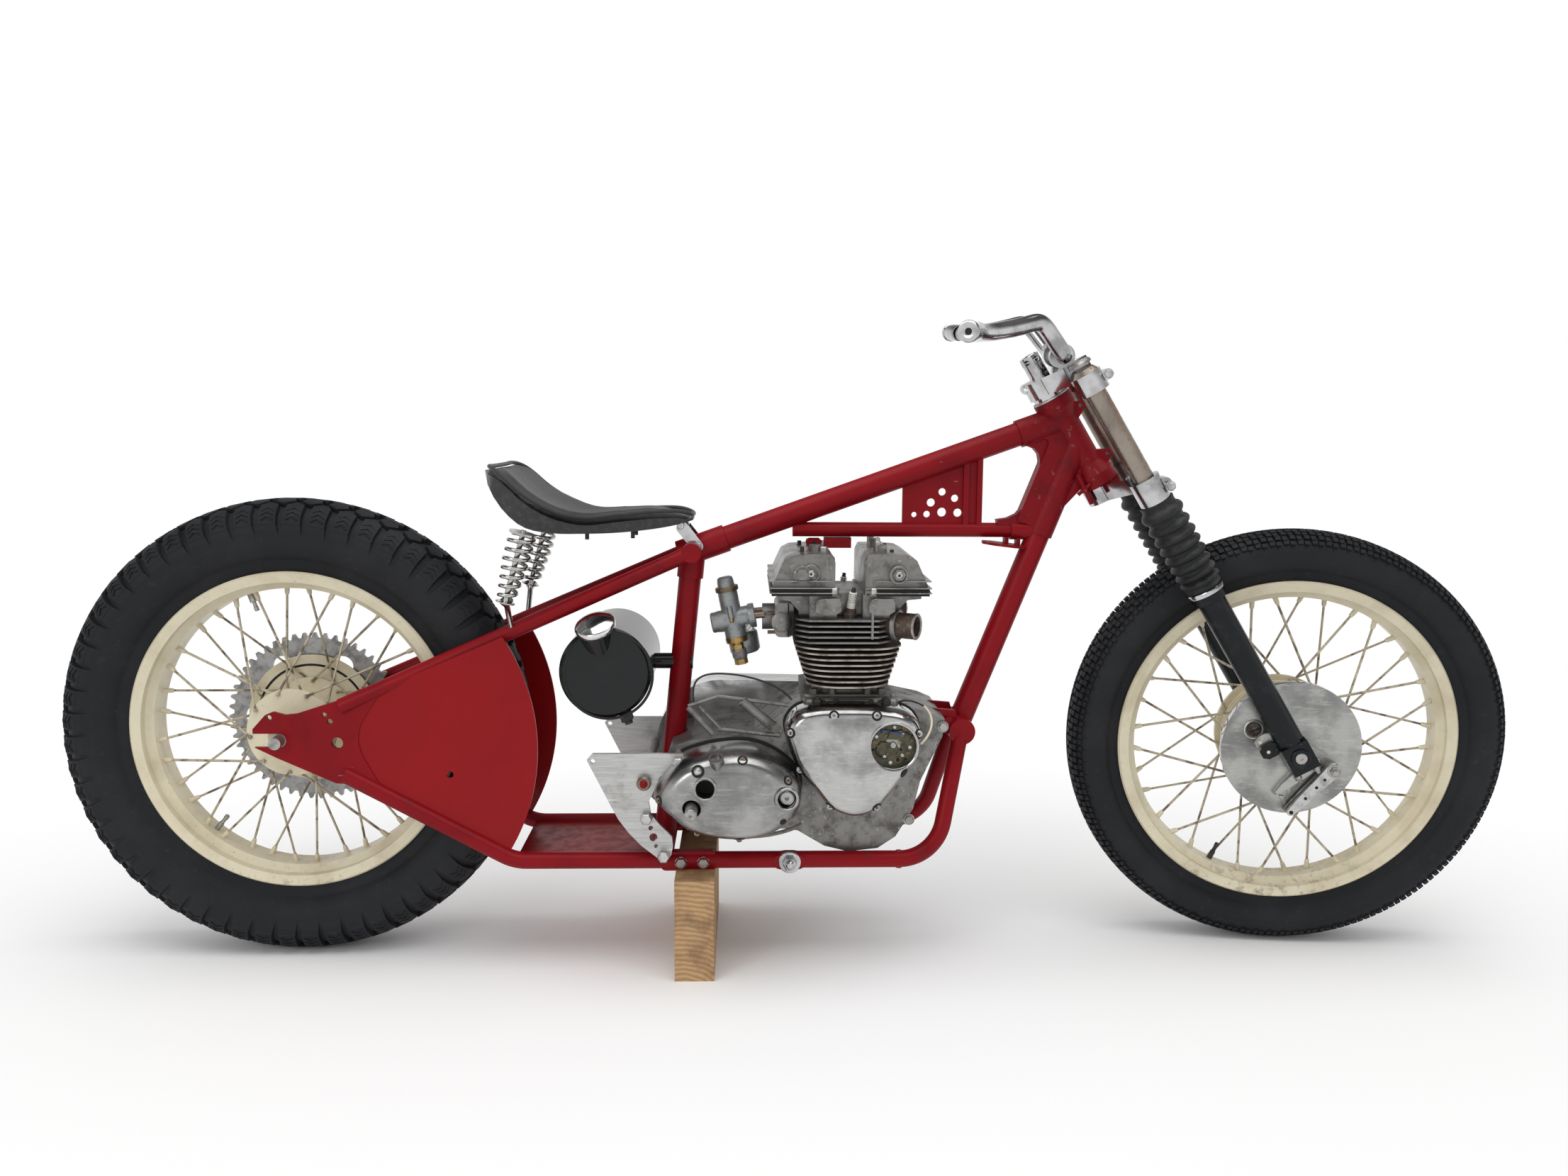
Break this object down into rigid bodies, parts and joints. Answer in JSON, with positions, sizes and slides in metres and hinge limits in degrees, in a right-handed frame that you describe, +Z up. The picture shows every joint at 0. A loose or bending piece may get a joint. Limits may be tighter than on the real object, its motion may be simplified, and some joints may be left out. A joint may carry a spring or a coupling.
{
  "type": "chopper motorcycle",
  "caption": "Rigid chopper motorcycle with spoked wheels, open twin engine, leather saddle and turning front fork, resting on a timber block.",
  "frame": {"origin": "on the floor under the middle of the motorcycle's length, in its middle plane", "axes": "+X forward, +Y to the rider's left, +Z up"},
  "size_m": [2.1998, 0.5223, 0.9824],
  "materials": {
    "frame_paint": "gloss deep red paint",
    "cream_paint": "cream paint, worn",
    "tyre_rubber": "black tyre rubber",
    "cast_alloy": "cast aluminium, dull",
    "polished_alloy": "polished aluminium",
    "barrel_iron": "brown rusted iron",
    "chrome_plate": "chrome plate",
    "rusty_steel": "bare steel with brown rust",
    "zinc_steel": "plated steel, dull",
    "black_paint": "gloss black paint",
    "gaiter_rubber": "black rubber",
    "seat_leather": "black leather",
    "grey_zinc": "dull die-cast zinc",
    "brushed_plate": "brushed aluminium plate",
    "timber": "rough sawn timber"
  },
  "bodies": {
    "frame": {"axle_plates": "frame_paint", "barrel": "barrel_iron", "carburettor": "grey_zinc", "crankcase": "cast_alloy", "cylinder_head": "cast_alloy", "down_tube": "frame_paint", "engine_plates": "brushed_plate", "exhaust_stubs": "rusty_steel", "gearbox_cover": "polished_alloy", "head_lug": "frame_paint", "inlet_manifold": "cast_alloy", "lower_rails": "frame_paint", "oil_cap": "chrome_plate", "oil_tank": "black_paint", "primary_cover": "polished_alloy", "rear_axle": "zinc_steel", "rocker_boxes": "cast_alloy", "seat": "seat_leather", "seat_link": "chrome_plate", "seat_springs": "chrome_plate", "seat_tube": "frame_paint", "side_panels": "frame_paint", "spark_plugs": "zinc_steel", "tank_rail": "frame_paint", "timing_cover": "polished_alloy", "top_tube": "frame_paint", "upper_stays": "frame_paint", "wood_block": "timber"},
    "fork": {"bar_clamps": "polished_alloy", "bottom_yoke": "chrome_plate", "brake_plate": "polished_alloy", "front_axle": "zinc_steel", "gaiters": "gaiter_rubber", "handlebar": "chrome_plate", "sliders": "black_paint", "stanchions": "rusty_steel", "top_yoke": "chrome_plate"},
    "front_wheel": {"front_hub": "cream_paint", "front_rim": "cream_paint", "front_spokes": "cream_paint", "front_tyre": "tyre_rubber"},
    "rear_wheel": {"rear_hub": "cream_paint", "rear_rim": "cream_paint", "rear_spokes": "cream_paint", "rear_sprocket": "zinc_steel", "rear_tyre": "tyre_rubber"}
  },
  "joints": [
    {"name": "steering", "type": "hinge", "parent": "frame", "child": "fork", "pos_m": [0.43164, 0, 0.78953], "axis": [-0.521, 0, 0.8536], "range_deg": [-22.4, 37.6]},
    {"name": "front_wheel_spin", "type": "hinge", "parent": "fork", "child": "front_wheel", "pos_m": [0.76985, -0.00661, 0.33058], "axis": [0.1129, 0.9912, 0.0689], "continuous": true},
    {"name": "rear_wheel_spin", "type": "hinge", "parent": "frame", "child": "rear_wheel", "pos_m": [-0.75035, 0, 0.3495], "axis": [0, 1, 0], "continuous": true}
  ]
}
